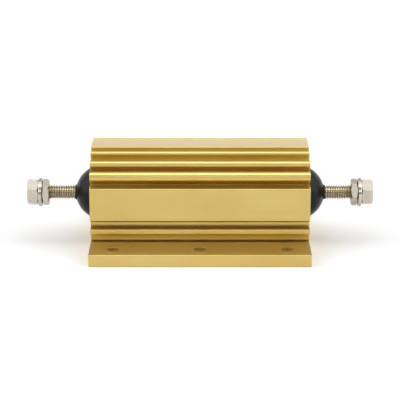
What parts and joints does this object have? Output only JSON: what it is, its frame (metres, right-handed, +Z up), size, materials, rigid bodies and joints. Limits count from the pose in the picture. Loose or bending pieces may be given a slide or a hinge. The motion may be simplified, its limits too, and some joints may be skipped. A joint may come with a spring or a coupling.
{
  "type": "aluminium housed power resistor",
  "caption": "Gold anodised finned aluminium housing on a flat mounting flange, holding a wirewound ceramic core in black silicone, with a threaded stud, nuts and a washer at each end.",
  "frame": {"origin": "middle of the base, on the surface that the housing is bolted to", "axes": "+X along the terminal studs, +Y across the mounting flange, +Z up from the base to the top pad"},
  "size_m": [0.143, 0.072, 0.0415],
  "materials": {
    "anodised_gold": "satin gold anodised extrusion, sawn ends",
    "silicone_black": "satin black silicone moulding",
    "ceramic_white": "fired, matt",
    "resistance_wire": "drawn copper-nickel wire",
    "stainless_cap": "pressed stainless steel",
    "nickel_plate": "nickel-plated steel, satin"
  },
  "bodies": {
    "root": {"housing": "anodised_gold", "moulding": "silicone_black", "ceramic_core": "ceramic_white", "winding": "resistance_wire", "end_cap_left": "stainless_cap", "end_cap_right": "stainless_cap", "stud_left": "nickel_plate", "stud_right": "nickel_plate", "thin_nut_left": "nickel_plate", "thin_nut_right": "nickel_plate", "washer_left": "nickel_plate", "washer_right": "nickel_plate", "outer_nut_left": "nickel_plate", "outer_nut_right": "nickel_plate"}
  },
  "joints": []
}
